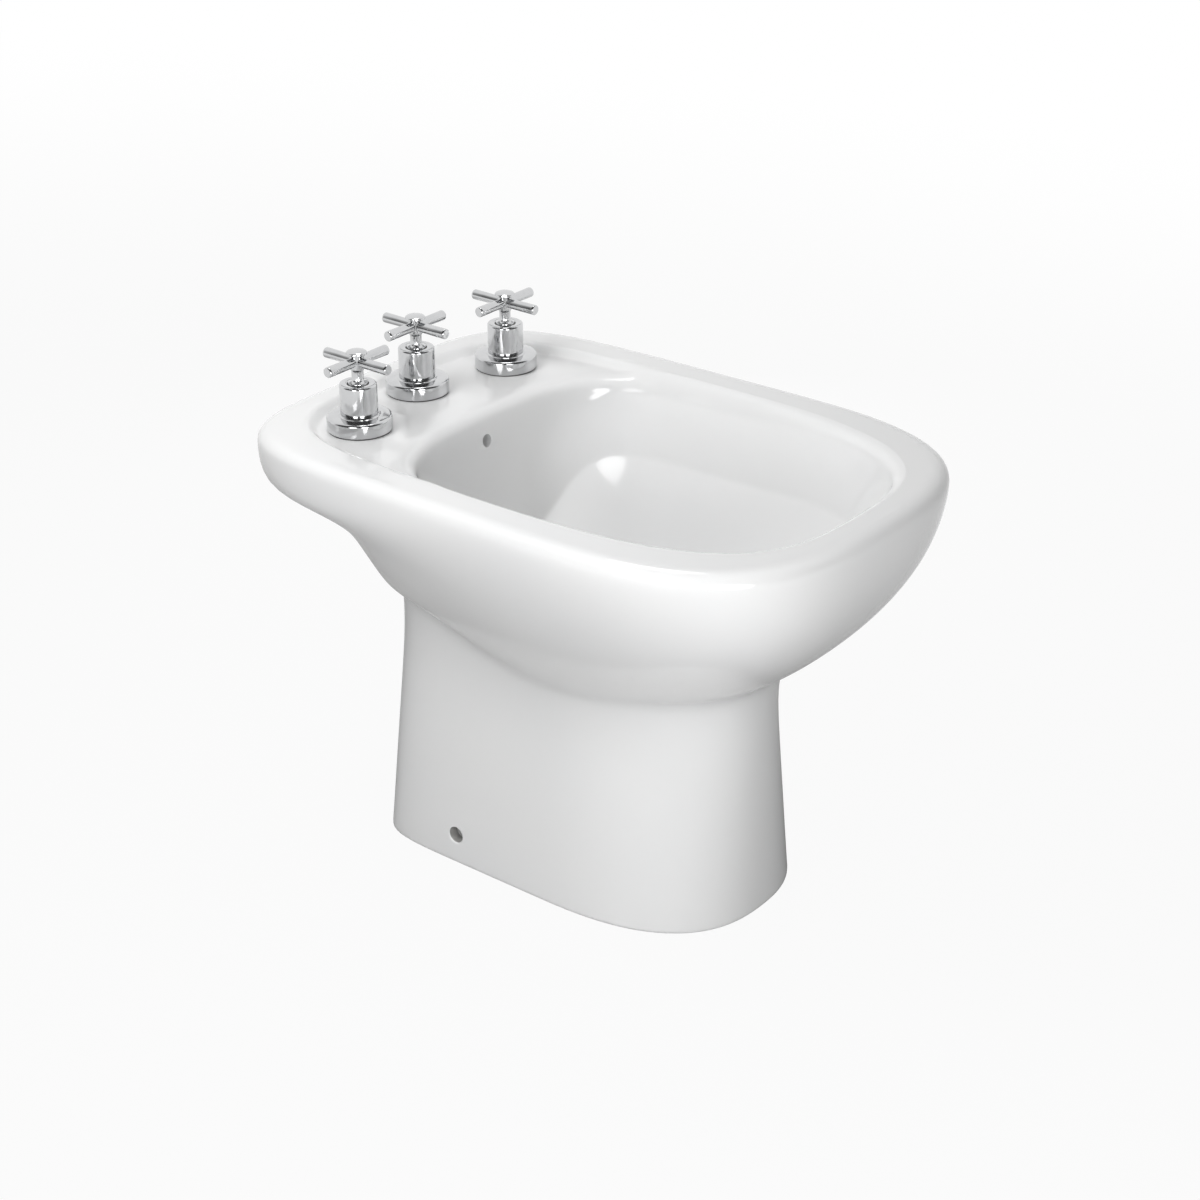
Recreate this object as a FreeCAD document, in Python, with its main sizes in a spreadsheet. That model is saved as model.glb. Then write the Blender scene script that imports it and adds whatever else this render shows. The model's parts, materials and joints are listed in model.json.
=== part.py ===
import FreeCAD, Part
import Sketcher
import math
import os
from FreeCAD import Rotation, Vector

# A floor-standing three-hole bidet: a hollow china pedestal with a bowl, a deck
# with hot and cold taps and a middle transfer tap, an upright spray in the bowl
# and a waste. Front is -Y, the wall side is +Y, the floor is z = 0.

document = FreeCAD.newDocument("bidet")
sheet = document.addObject("Spreadsheet::Sheet", "sizes")

SIZES = {
    # Rim and deck
    "rim_width": 374.0,
    "rim_length": 532.0,
    "rim_height": 378.0,
    "rim_round": 11.0,
    "rim_widest": 44.0,
    "recess_depth": 7.0,
    "recess_slope": 5.0,
    "recess_side_band": 41.0,
    "recess_front_band": 44.0,
    "recess_rear_band": 26.0,
    "deck_thickness": 13.0,
    "skirt_wall": 14.0,
    "pocket_low": 90.0,
    # Foot and waist of the pedestal
    "foot_width": 213.0,
    "foot_front_setback": 102.2,
    "foot_rear_setback": 90.0,
    "foot_widest": 12.4,
    "waist_width": 187.6,
    "waist_front_setback": 111.8,
    "waist_rear_setback": 107.0,
    "waist_level_front": 207.0,
    "waist_level_side": 198.0,
    "waist_level_rear": 238.0,
    "shell_wall": 10.0,
    "shell_rise": 7.0,
    # Bowl
    "bowl_side_band": 43.5,
    "bowl_front_band": 37.0,
    "bowl_rear_band": 135.5,
    "bowl_widest": 15.5,
    "mouth_flare": 9.0,
    "mouth_drop": 13.0,
    "crease_side_inset": 24.5,
    "crease_front_inset": 32.0,
    "crease_rear_inset": 50.5,
    "crease_front_depth": 66.0,
    "crease_side_depth": 68.0,
    "crease_rear_depth": 101.0,
    "floor_side_margin": 7.0,
    "floor_front_margin": 15.0,
    "floor_rear_margin": 10.0,
    "floor_depth": 136.0,
    "floor_thickness": 12.0,
    "overflow_radius": 5.5,
    "overflow_depth": 33.0,
    # Fixing holes and rear opening of the pedestal
    "fixing_radius": 7.0,
    "fixing_level": 27.0,
    "fixing_setback": 93.5,
    "service_width": 124.0,
    "service_rise": 55.0,
    # Taps above the deck
    "tap_rear": 80.5,
    "tap_setback": 20.0,
    "tap_hole_play": 1.8,
    "gasket_thickness": 1.0,
    "gasket_inset": 0.8,
    "flange_radius": 27.0,
    "flange_side": 10.5,
    "flange_bevel": 1.5,
    "flange_crown": 13.6,
    "flange_wall": 2.0,
    "flange_lip": 1.4,
    "sleeve_radius": 15.5,
    "sleeve_length": 25.9,
    "sleeve_wall": 1.7,
    "sleeve_top": 3.0,
    "sleeve_round": 1.8,
    "skirt_radius": 8.2,
    "skirt_play": 0.8,
    "skirt_dip": 1.5,
    "skirt_edge": 2.2,
    "skirt_rise": 1.6,
    "neck_radius": 4.9,
    "neck_length": 7.7,
    "hub_taper": 2.0,
    "hub_swell": 1.1,
    "hub_length": 12.5,
    "arm_drop": 6.3,
    "arm_radius": 4.2,
    "arm_reach": 34.5,
    "arm_round": 0.8,
    "cap_radius": 8.5,
    "cap_height": 3.5,
    "cap_edge": 1.2,
    "cap_plug_radius": 4.4,
    "cap_plug_length": 1.6,
    "screw_radius": 1.6,
    "screw_head_radius": 3.4,
    "screw_head_height": 2.4,
    "screw_grip": 11.0,
    "hub_web": 2.5,
    # Valve parts
    "collar_play": 5.0,
    "collar_thickness": 4.0,
    "cartridge_radius": 10.0,
    "barrel_wall": 2.4,
    "barrel_height": 5.0,
    "shank_wall": 3.2,
    "shank_tail": 7.0,
    "stub_radius": 10.45,
    "stub_length": 20.0,
    "stub_wall": 3.45,
    "cage_wall": 1.4,
    "cage_rise": 5.0,
    "seat_depth": 15.0,
    "seal_thickness": 2.0,
    "seal_bore": 5.0,
    "disc_thickness": 4.0,
    "disc_port": 2.2,
    "disc_port_reach": 4.6,
    "film": 0.05,
    "driver_step": 0.5,
    "spindle_radius": 3.4,
    "spindle_play": 0.08,
    "shoulder_height": 6.0,
    "thread_length": 12.0,
    "gland_radius": 8.0,
    "gland_length": 9.0,
    "window_radius": 3.2,
    "washer_thickness": 1.6,
    "washer_width": 6.1,
    "backnut_wall": 7.3,
    "backnut_height": 8.0,
    "port_gap": 7.4,
    "port_wall": 3.0,
    "port_reach": 20.0,
    # Tubes
    "tube_radius": 5.0,
    "tube_wall": 1.0,
    "tube_grip": 7.0,
    "tube_nut_wall": 4.6,
    "tube_nut_length": 8.0,
    "tube_straight": 1.0,
    "feed_end_gap": 4.0,
    "grommet_wall": 3.0,
    "grommet_lip": 1.6,
    "spray_bend": 36.0,
    "spray_straight": 10.0,
    # Spray
    "spray_place": 10.0,
    "rose_radius": 14.0,
    "rose_edge": 3.0,
    "rose_height": 9.0,
    "rose_hole": 0.9,
    "rose_hole_circle": 6.0,
    "spray_wall": 3.0,
    "spray_tail": 19.0,
    "spray_hole_play": 1.0,
    "spray_nut_wall": 6.0,
    "spray_nut_height": 7.0,
    # Waste
    "waste_place": 74.0,
    "waste_radius": 21.0,
    "waste_wall": 3.5,
    "waste_flange_width": 10.0,
    "waste_flange_height": 2.5,
    "waste_tail": 19.0,
    "waste_grid_drop": 4.0,
    "waste_grid_thickness": 2.5,
    "waste_grid_hole": 3.6,
    "waste_grid_circle": 10.5,
    "waste_hole_play": 1.5,
    "waste_gasket_thickness": 5.0,
    "waste_gasket_width": 10.0,
    "waste_nut_wall": 8.5,
    "waste_nut_height": 9.0,
    "tail_step": 1.3,
    "tail_wall": 1.5,
    "tail_grip": 18.0,
    "tail_length": 92.0,
    # General fit between a screwed or slipped part and its hole, and cut overrun
    "fit": 0.2,
    "overrun": 2.0,
}

for row, (name, value) in enumerate(SIZES.items(), start=1):
    sheet.set("A%d" % row, name)
    sheet.set("B%d" % row, str(value))
    sheet.setAlias("B%d" % row, name)
document.recompute()


class Size:
    """A length with the formula that binds it to the sheet."""

    def __init__(self, value, text):
        self.value = value
        self.text = text

    def __add__(self, other):
        other = as_size(other)
        return Size(self.value + other.value, "(%s + %s)" % (self.text, other.text))

    def __sub__(self, other):
        other = as_size(other)
        return Size(self.value - other.value, "(%s - %s)" % (self.text, other.text))

    def __rsub__(self, other):
        return as_size(other) - self

    def __neg__(self):
        return Size(-self.value, "(0 - %s)" % self.text)

    def __mul__(self, factor):
        return Size(self.value * factor, "(%s * %s)" % (self.text, factor))

    def __truediv__(self, factor):
        return Size(self.value / factor, "(%s / %s)" % (self.text, factor))

    __radd__ = __add__
    __rmul__ = __mul__


def as_size(number):
    if isinstance(number, Size):
        return number
    return Size(number, str(number))


class Sizes:
    """The sheet's cells by name."""

    def __getattr__(self, name):
        return Size(float(sheet.get(name)), "sizes.%s" % name)


s = Sizes()
NODES = []


# Ways to make a piece

def bind(item, name, size):
    item.setExpression(name, as_size(size).text)


def move(item, x=0, y=0, z=0):
    bind(item, "Placement.Base.x", x)
    bind(item, "Placement.Base.y", y)
    bind(item, "Placement.Base.z", z)
    return item


def node(item, label, place):
    """Name a finished piece and put it in its place."""
    item.Label = label
    move(item, *place)
    NODES.append(item)
    return item


def cylinder(radius, height, x=0, y=0, z=0, along="Z"):
    turns = {
        "Z": Rotation(),
        "X": Rotation(Vector(0, 1, 0), 90),
        "-X": Rotation(Vector(0, 1, 0), -90),
        "Y": Rotation(Vector(1, 0, 0), -90),
        "-Y": Rotation(Vector(1, 0, 0), 90),
    }
    item = document.addObject("Part::Cylinder", "cylinder")
    bind(item, "Radius", radius)
    bind(item, "Height", height)
    item.Placement.Rotation = turns[along]
    return move(item, x, y, z)


def prism(circle, height, x=0, y=0, z=0, along="Z"):
    item = document.addObject("Part::Prism", "hexagon")
    item.Polygon = 6
    bind(item, "Circumradius", circle)
    bind(item, "Height", height)
    if along == "X":
        item.Placement.Rotation = Rotation(Vector(0, 1, 0), 90)
    if along == "Y":
        item.Placement.Rotation = Rotation(Vector(1, 0, 0), -90)
    return move(item, x, y, z)


def joined(items):
    item = document.addObject("Part::MultiFuse", "joined")
    item.Shapes = items
    item.Refine = True
    return item


def cut(base, tools):
    item = document.addObject("Part::Cut", "cut")
    item.Base = base
    item.Tool = tools[0] if len(tools) == 1 else joined(tools)
    return item


def outline_sketch(body, points):
    """A closed sketch of straight lines in the body's XZ plane, bound to the sheet."""
    plane = [item for item in body.Origin.OriginFeatures if item.Role == "XZ_Plane"][0]
    sketch = body.newObject("Sketcher::SketchObject", "profile")
    sketch.AttachmentSupport = [(plane, "")]
    sketch.MapMode = "FlatFace"
    points = [(as_size(radius), as_size(level)) for radius, level in points]
    count = len(points)
    for here in range(count):
        start, end = points[here], points[(here + 1) % count]
        first = Vector(start[0].value, start[1].value, 0)
        last = Vector(end[0].value, end[1].value, 0)
        sketch.addGeometry(Part.LineSegment(first, last), False)
    for here in range(count):
        sketch.addConstraint(Sketcher.Constraint("Coincident", here, 2, (here + 1) % count, 1))
    for here, point in enumerate(points):
        for kind, axis, size in (("DistanceX", -2, point[0]), ("DistanceY", -1, point[1])):
            if size.value == 0:
                sketch.addConstraint(Sketcher.Constraint("PointOnObject", here, 1, axis))
            elif size.value > 0:
                which = sketch.addConstraint(Sketcher.Constraint(kind, -1, 1, here, 1, size.value))
                bind(sketch, "Constraints[%d]" % which, size)
            else:
                which = sketch.addConstraint(Sketcher.Constraint(kind, here, 1, -1, 1, -size.value))
                bind(sketch, "Constraints[%d]" % which, -size)
    return sketch


def turned(points, groove=None):
    """A body turned about Z from a profile, with an optional turned bore."""
    body = document.addObject("PartDesign::Body", "turned")
    for kind, outline in (("PartDesign::Revolution", points), ("PartDesign::Groove", groove)):
        if outline:
            sketch = outline_sketch(body, outline)
            feature = body.newObject(kind, "turn")
            feature.Profile = sketch
            feature.ReferenceAxis = (sketch, ["V_Axis"])
            feature.Angle = 360
            sketch.Visibility = False
            document.recompute()
    return body


def ring_body(inside, outside, low, high):
    return turned([(inside, low), (outside, low), (outside, high), (inside, high)])


# Sizes that follow others

TAP_SPACING_SHARE = 0.247326
half_rim_length = s.rim_length / 2
foot_front = half_rim_length - s.foot_front_setback
foot_rear = half_rim_length - s.foot_rear_setback
waist_front = half_rim_length - s.waist_front_setback
waist_rear = half_rim_length - s.waist_rear_setback
tap_spacing = s.rim_width * TAP_SPACING_SHARE
tap_side_y = half_rim_length - s.tap_rear
tap_middle_y = tap_side_y + s.tap_setback
deck_level = s.rim_height - s.recess_depth
floor_place = s.rim_height - s.floor_depth
barrel_radius = s.cartridge_radius + s.barrel_wall
shank_radius = s.cartridge_radius + s.shank_wall
shank_hole = shank_radius + s.fit
backnut_circle = shank_radius + s.backnut_wall
pocket_front = tap_side_y - backnut_circle
tube_hole = s.tube_radius + s.fit
tube_bore = s.tube_radius - s.tube_wall
port_radius = s.tube_radius + s.port_wall
washer_low = -s.deck_thickness - s.washer_thickness
backnut_low = washer_low - s.backnut_height
port_drop = s.port_gap + port_radius - backnut_low
spray_shank_radius = s.tube_radius + s.spray_wall
spray_low = -s.floor_thickness - s.spray_nut_height - s.spray_tail
spray_run = floor_place + spray_low - s.tube_nut_length - s.spray_straight - s.spray_bend
waste_flange_radius = s.waste_radius + s.waste_flange_width


# China body

RING_STEPS = 24
OUTLINE_STEPS = 300
LINE_SHARES = (0.0, 0.25, 0.5, 0.72, 0.89)
DOME_SHARES = (0.02, 0.08, 0.16, 0.26, 0.38, 0.5, 0.62, 0.74, 0.86, 0.95)
REAR_RISE_SHARES = (0.01, 0.07, 0.12, 0.18, 0.33, 0.475, 0.61, 0.69, 0.735, 0.77)
REAR_REACH_SHARES = (0.0, 0.004, 0.012, 0.026, 0.062, 0.1, 0.155, 0.295, 0.64, 0.985)
WALL_DROP_SHARES = (0.22, 0.5, 0.78, 0.94, 1.0)
WALL_INSET_SHARES = (0.2, 0.48, 0.78, 0.94, 1.0)
WALL_REAR_SHARES = (0.02, 0.3, 0.7, 0.92, 1.0)
BASIN_DROP_SHARES = (0.06, 0.3, 0.62, 0.88, 1.0)
BASIN_INSET_SHARES = (0.08, 0.34, 0.65, 0.88, 1.0)
FRONT_BULGE = 2.24
SIDE_BULGE = 1.6
SIDE_SOFT_SHARE = 0.05
MOUTH_SHARES = (1.0, 0.8, 0.6, 0.4, 0.2)
ROUND_ANGLES = (0, 30, 60, 90)
FOOT_POWERS = (2.55, 10.3)
WAIST_POWERS = (2.08, 9.3)
RIM_POWERS = (3.14, 5.73)
MOUTH_POWERS = (3.3, 2.8)
CREASE_POWERS = (3.0, 3.4)
FLOOR_POWERS = (2.2, 2.2)
RECESS_POWERS = (3.2, 5.2)
TROUGH_POWER = 3


class Ring:
    """One closed outline of the china, and the levels of its front, sides and rear."""

    def __init__(self, width, front, rear, widest, powers, levels):
        self.width = width
        self.front = front
        self.rear = rear
        self.widest = widest
        self.powers = powers
        self.levels = levels

    def toward(self, other, share):
        def mix(start, end):
            return start + (end - start) * share

        powers = [mix(*pair) for pair in zip(self.powers, other.powers)]
        levels = [mix(*pair) for pair in zip(self.levels, other.levels)]
        return Ring(mix(self.width, other.width), mix(self.front, other.front),
                    mix(self.rear, other.rear), mix(self.widest, other.widest), powers, levels)

    def grown(self, growth, lift=0):
        levels = [level + lift for level in self.levels]
        return Ring(self.width + growth, self.front - growth, self.rear + growth,
                    self.widest, self.powers, levels)

    def level(self, *levels):
        if len(levels) == 1:
            levels = levels * 3
        return Ring(self.width, self.front, self.rear, self.widest, self.powers, levels)

    def half_outline(self):
        """The outline from the rear middle to the front middle, in equal steps."""
        points = []
        for end, power in ((self.rear, self.powers[1]), (self.front, self.powers[0])):
            quarter = []
            for step in range(OUTLINE_STEPS + 1):
                angle = math.pi / 2 * step / OUTLINE_STEPS
                across = self.width * math.sin(angle) ** (2 / power)
                along = max(math.cos(angle), 0) ** (2 / power)
                quarter.append((across, self.widest + (end - self.widest) * along))
            points += quarter if end == self.rear else quarter[-2::-1]
        runs = [0.0]
        for first, second in zip(points, points[1:]):
            runs.append(runs[-1] + math.dist(first, second))
        spaced = []
        place = 0
        for step in range(RING_STEPS + 1):
            wanted = runs[-1] * step / RING_STEPS
            while place < len(runs) - 2 and runs[place + 1] < wanted:
                place += 1
            part = (wanted - runs[place]) / (runs[place + 1] - runs[place])
            first, second = points[place], points[place + 1]
            spaced.append([a + (b - a) * part for a, b in zip(first, second)])
        return spaced

    def points(self, dip):
        """The ring's points; dip above zero keeps the rear level to the middle of the rear."""
        half = self.half_outline()
        outline = half + [[-x, y] for x, y in half[-2:0:-1]]
        placed = []
        for x, y in outline:
            rear = y > self.widest
            share = (y - self.widest) / ((self.rear if rear else self.front) - self.widest)
            share = min(max(share, 0), 1)
            weight = share * share * (3 - 2 * share)
            if rear and dip:
                weight = max(1 - (x / self.width) ** 2, 0) ** dip
            side = self.levels[1]
            end = self.levels[2] if rear else self.levels[0]
            placed.append(Vector(x, y, side + (end - side) * weight))
        return placed


def skin(rings, dip=0):
    """A solid with one smooth side face through the rings and flat ends."""
    rows = []
    rounds = [step / (2 * RING_STEPS) for step in range(2 * RING_STEPS + 1)]
    grids = [ring.points(dip) for ring in rings]
    for grid in grids:
        curve = Part.BSplineCurve()
        curve.interpolate(Points=grid, Parameters=rounds, PeriodicFlag=True)
        rows.append(curve)
    steps = [0.0]
    for lower, upper in zip(grids, grids[1:]):
        mean = sum(a.distanceToPoint(b) for a, b in zip(lower, upper)) / len(lower)
        steps.append(steps[-1] + mean)
    steps = [step / steps[-1] for step in steps]
    columns = []
    for column in zip(*[row.getPoles() for row in rows]):
        curve = Part.BSplineCurve()
        curve.interpolate(Points=list(column), Parameters=steps)
        columns.append(curve)
    surface = Part.BSplineSurface()
    surface.buildFromPolesMultsKnots(
        [column.getPoles() for column in columns],
        rows[0].getMultiplicities(), columns[0].getMultiplicities(),
        rows[0].getKnots(), columns[0].getKnots(), True, False,
        rows[0].Degree, columns[0].Degree)
    side = surface.toShape()
    ends = sorted((edge for edge in side.Edges if edge.isClosed()),
                  key=lambda edge: edge.CenterOfMass.z)
    caps = [Part.Face(Part.Wire([ends[0]])), Part.Face(Part.Wire([ends[-1]]))]
    shell = Part.Shell([side] + caps)
    shell.sewShape()
    solid = Part.Solid(shell)
    if solid.Volume < 0:
        solid.reverse()
    return solid


def rod(radius, length, place, along):
    return Part.makeCylinder(radius, length, place, along)


UP = Vector(0, 0, 1)
half_rim = s.rim_width.value / 2
half_length = half_rim_length.value
top = s.rim_height.value
overrun = s.overrun.value
wall = s.shell_wall.value
deck = deck_level.value
under_deck = deck - s.deck_thickness.value
shoulder = top - s.rim_round.value

foot = Ring(s.foot_width.value / 2, -foot_front.value, foot_rear.value,
            -s.foot_widest.value, FOOT_POWERS, (0, 0, 0))
waist = Ring(s.waist_width.value / 2, -waist_front.value, waist_rear.value,
             -s.foot_widest.value, WAIST_POWERS,
             (s.waist_level_front.value, s.waist_level_side.value, s.waist_level_rear.value))
rim = Ring(half_rim, -half_length, half_length, -s.rim_widest.value, RIM_POWERS, (shoulder,) * 3)


def shell_rings(dome_count):
    """The rings of the outside, up to a number of rings of the dome."""
    rings = [foot.toward(waist, share) for share in LINE_SHARES]
    for share, rise, reach in list(zip(DOME_SHARES, REAR_RISE_SHARES, REAR_REACH_SHARES))[:dome_count]:
        ring = waist.toward(rim, 1 - (1 - share) ** FRONT_BULGE)
        spread = (1 - (1 - share) ** SIDE_BULGE) * share * (1 + SIDE_SOFT_SHARE) / (share + SIDE_SOFT_SHARE)
        ring.width = waist.width + (rim.width - waist.width) * spread
        ring.rear = waist.rear + (rim.rear - waist.rear) * reach
        ring.levels = [low + (shoulder - low) * part
                       for low, part in zip(waist.levels, (share, share, rise))]
        rings.append(ring)
    return rings


# Outside, with the rounded rim
outside = shell_rings(len(DOME_SHARES))
for angle in ROUND_ANGLES:
    turn = math.radians(angle)
    radius = s.rim_round.value
    outside.append(rim.grown(-radius * (1 - math.cos(turn)), radius * math.sin(turn)))
china = skin(outside)

# Bowl, from its rounded edge down the steep wall to the basin
mouth_low = top - s.mouth_drop.value
opening = Ring(half_rim - s.bowl_side_band.value, s.bowl_front_band.value - half_length,
               half_length - s.bowl_rear_band.value, s.bowl_widest.value, MOUTH_POWERS, (mouth_low,) * 3)
depths = (s.crease_front_depth, s.crease_side_depth, s.crease_rear_depth)
crease = Ring(opening.width - s.crease_side_inset.value, opening.front + s.crease_front_inset.value,
              opening.rear - s.crease_rear_inset.value, 0, CREASE_POWERS,
              [top - depth.value for depth in depths])
floor_level = floor_place.value
floor_front = s.waste_place + waste_flange_radius + s.floor_front_margin
floor_rear = s.rose_radius - s.spray_place + s.floor_rear_margin
basin = Ring((waste_flange_radius + s.floor_side_margin).value, -floor_front.value, floor_rear.value,
             (floor_rear - floor_front).value / 2, FLOOR_POWERS, (floor_level,) * 3)
bowl = []
for share in (1 + overrun / s.mouth_drop.value,) + MOUTH_SHARES:
    bowl.append(opening.grown(s.mouth_flare.value * share ** 2, s.mouth_drop.value * share))
bowl.append(opening)
for drop, inset, rear in zip(WALL_DROP_SHARES, WALL_INSET_SHARES, WALL_REAR_SHARES):
    ring = opening.toward(crease, inset)
    ring.rear = opening.rear + (crease.rear - opening.rear) * rear
    ring.levels = [high + (low - high) * drop for high, low in zip(opening.levels, crease.levels)]
    bowl.append(ring)
for drop, inset in zip(BASIN_DROP_SHARES, BASIN_INSET_SHARES):
    ring = crease.toward(basin, inset)
    ring.levels = [high + (low - high) * drop for high, low in zip(crease.levels, basin.levels)]
    bowl.append(ring)
bowl_space = skin(bowl[::-1], TROUGH_POWER)
bowl_shell = [ring.grown(wall, -s.floor_thickness.value) for ring in bowl[bowl.index(opening):]]
bowl_shell.insert(0, bowl_shell[0].level(top + overrun))
bowl_back = skin(bowl_shell[::-1], TROUGH_POWER)

# Hollow between the outside and the back of the bowl
hollow = [foot.grown(-wall, -overrun)]
web_rear = pocket_front.value - wall
for ring in shell_rings(len(DOME_SHARES) - 2)[1:]:
    inner = ring.grown(-wall, s.shell_rise.value)
    inner.rear = min(inner.rear, web_rear)
    hollow.append(inner)
lid = rim.grown(-wall - s.shell_rise.value / 2).level(under_deck)
lid.rear = web_rear
hollow.append(lid)
hollow_space = skin(hollow).cut(bowl_back)

# Shallow recess of the deck inside the rim
recess_rise = 1 + overrun / s.recess_depth.value
recess_high = Ring(half_rim - s.recess_side_band.value, s.recess_front_band.value - half_length,
                   half_length - s.recess_rear_band.value, -s.rim_widest.value, RECESS_POWERS, (top,) * 3)
recess_low = recess_high.grown(-s.recess_slope.value).level(deck)
recess_space = skin([recess_low, recess_low.toward(recess_high, recess_rise / 2),
                     recess_low.toward(recess_high, recess_rise)])

# Open pocket under the deck for the valves, behind the web
pocket_rim = rim.grown(-s.skirt_wall.value).level(under_deck - s.pocket_low.value)
pocket_space = skin([pocket_rim, pocket_rim.level(under_deck - s.pocket_low.value / 2),
                     pocket_rim.level(under_deck)])
front_block = Part.makeBox(s.rim_width.value, half_length + pocket_front.value, top,
                           Vector(-half_rim, -half_length, 0))
pocket_space = pocket_space.cut(front_block)

# Holes: taps, overflow, bowl feed, waste, spray, side fixings, rear service opening
holes = []
for x, y in ((-tap_spacing, tap_side_y), (tap_spacing, tap_side_y), (as_size(0), tap_middle_y)):
    place = Vector(x.value, y.value, under_deck - overrun)
    holes.append(rod((shank_radius + s.tap_hole_play).value, s.deck_thickness.value + 2 * overrun, place, UP))
overflow_level = top - s.overflow_depth.value
holes.append(rod(s.overflow_radius.value, 2 * wall + s.crease_rear_inset.value,
                 Vector(0, crease.rear - wall, overflow_level), Vector(0, 1, 0)))
feed_level = deck - port_drop.value
feed_hole = s.tube_radius.value + s.grommet_wall.value
behind_bowl = opening.rear + wall
holes.append(rod(feed_hole, pocket_front.value + overrun - behind_bowl,
                 Vector(0, behind_bowl, feed_level), Vector(0, 1, 0)))
for radius, place in ((s.waste_radius.value + s.waste_hole_play.value, s.waste_place.value),
                      ((spray_shank_radius + s.spray_hole_play).value, s.spray_place.value)):
    holes.append(rod(radius, s.floor_thickness.value + 2 * overrun,
                     Vector(0, -place, floor_level - s.floor_thickness.value - overrun), UP))
for side in (-1, 1):
    inner_x = side * (s.foot_width.value / 2 - 3 * wall)
    place = Vector(inner_x, (foot_rear - s.fixing_setback).value, s.fixing_level.value)
    holes.append(rod(s.fixing_radius.value, 4 * wall, place, Vector(side, 0, 0)))
service_half = s.service_width.value / 2
service_y = waist_rear.value - 2 * wall
service_depth = foot_rear.value + overrun - service_y
spring_level = (spray_run + s.service_rise).value - service_half
service_low = Part.makeBox(s.service_width.value, service_depth, spring_level + overrun,
                           Vector(-service_half, service_y, -overrun))
service_arch = rod(service_half, service_depth, Vector(0, service_y, spring_level), Vector(0, 1, 0))
holes.append(service_low.fuse(service_arch).removeSplitter())

for tool in [hollow_space, bowl_space, recess_space, pocket_space] + holes:
    china = china.cut(tool)
ceramic_body = document.addObject("Part::Feature", "china")
ceramic_body.Shape = china.Solids[0]
ceramic_body.Label = "ceramic_body"
NODES.append(ceramic_body)
document.recompute()


# Taps: levels are above the deck on each tap's own axis

flange_low = s.gasket_thickness
flange_top = flange_low + s.flange_crown
sleeve_high = flange_top + s.sleeve_length
sleeve_bore = s.sleeve_radius - s.sleeve_wall
collar_radius = s.flange_radius - s.flange_wall - s.collar_play
collar_high = flange_low + s.collar_thickness
barrel_high = collar_high + s.barrel_height
shoulder_high = barrel_high + s.shoulder_height
thread_high = shoulder_high + s.thread_length
gland_high = thread_high + s.gland_length
skirt_low = sleeve_high - s.skirt_dip
skirt_high = skirt_low + s.skirt_edge
neck_low = skirt_high + s.skirt_rise
neck_high = neck_low + s.neck_length
hub_radius = s.neck_radius + s.hub_swell
hub_low = neck_high + s.hub_taper
hub_high = hub_low + s.hub_length
arm_level = hub_high - s.arm_drop
spindle_high = arm_level - s.hub_web
plug_low = hub_high - s.cap_plug_length
seat_level = -port_drop - s.seat_depth
shank_low = seat_level - s.shank_tail
stub_low = shank_low - s.stub_length
seal_high = seat_level + s.seal_thickness
disc_high = seal_high + s.disc_thickness
moving_low = disc_high + s.film
moving_high = moving_low + s.disc_thickness
cage_high = s.cage_rise - port_drop
cage_radius = s.cartridge_radius - s.cage_wall
disc_radius = cage_radius - s.fit
driver_radius = s.spindle_radius + s.driver_step
spindle_hole = s.spindle_radius + s.spindle_play


def valve_body(ports, stub_bore):
    """Brass body: collar on the deck, shank through it, seat, stub below and side ports."""
    blank = turned(
        [(0, barrel_high), (barrel_radius, barrel_high), (barrel_radius, collar_high),
         (collar_radius, collar_high), (collar_radius, flange_low), (shank_radius, flange_low),
         (shank_radius, shank_low), (s.stub_radius, shank_low), (s.stub_radius, stub_low),
         (0, stub_low)])
    solids = [blank]
    tools = [cylinder(s.cartridge_radius + s.fit, barrel_high - seat_level + s.overrun, z=seat_level),
             cylinder(stub_bore, seat_level - stub_low + 2 * s.overrun, z=stub_low - s.overrun)]
    for along in ports:
        solids.append(cylinder(port_radius, s.port_reach, z=-port_drop, along=along))
        tools.append(cylinder(tube_bore, s.port_reach, z=-port_drop, along=along))
        sign = -1 if along[0] == "-" else 1
        start = {along[-1].lower(): sign * (s.port_reach - s.tube_grip)}
        tools.append(cylinder(tube_hole, s.tube_grip + s.overrun, z=-port_drop, along=along, **start))
    if stub_bore is tube_bore:
        tools.append(cylinder(tube_hole, s.tube_grip + s.overrun, z=stub_low - s.overrun))
    return cut(joined(solids), tools)


def port_disc(low):
    """A ceramic disc with two water ports."""
    plate = cylinder(disc_radius, s.disc_thickness, z=low)
    ports = [cylinder(s.disc_port, s.disc_thickness + 2 * s.overrun, x=sign * s.disc_port_reach,
                      z=low - s.overrun) for sign in (-1, 1)]
    return cut(plate, ports)


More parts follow.
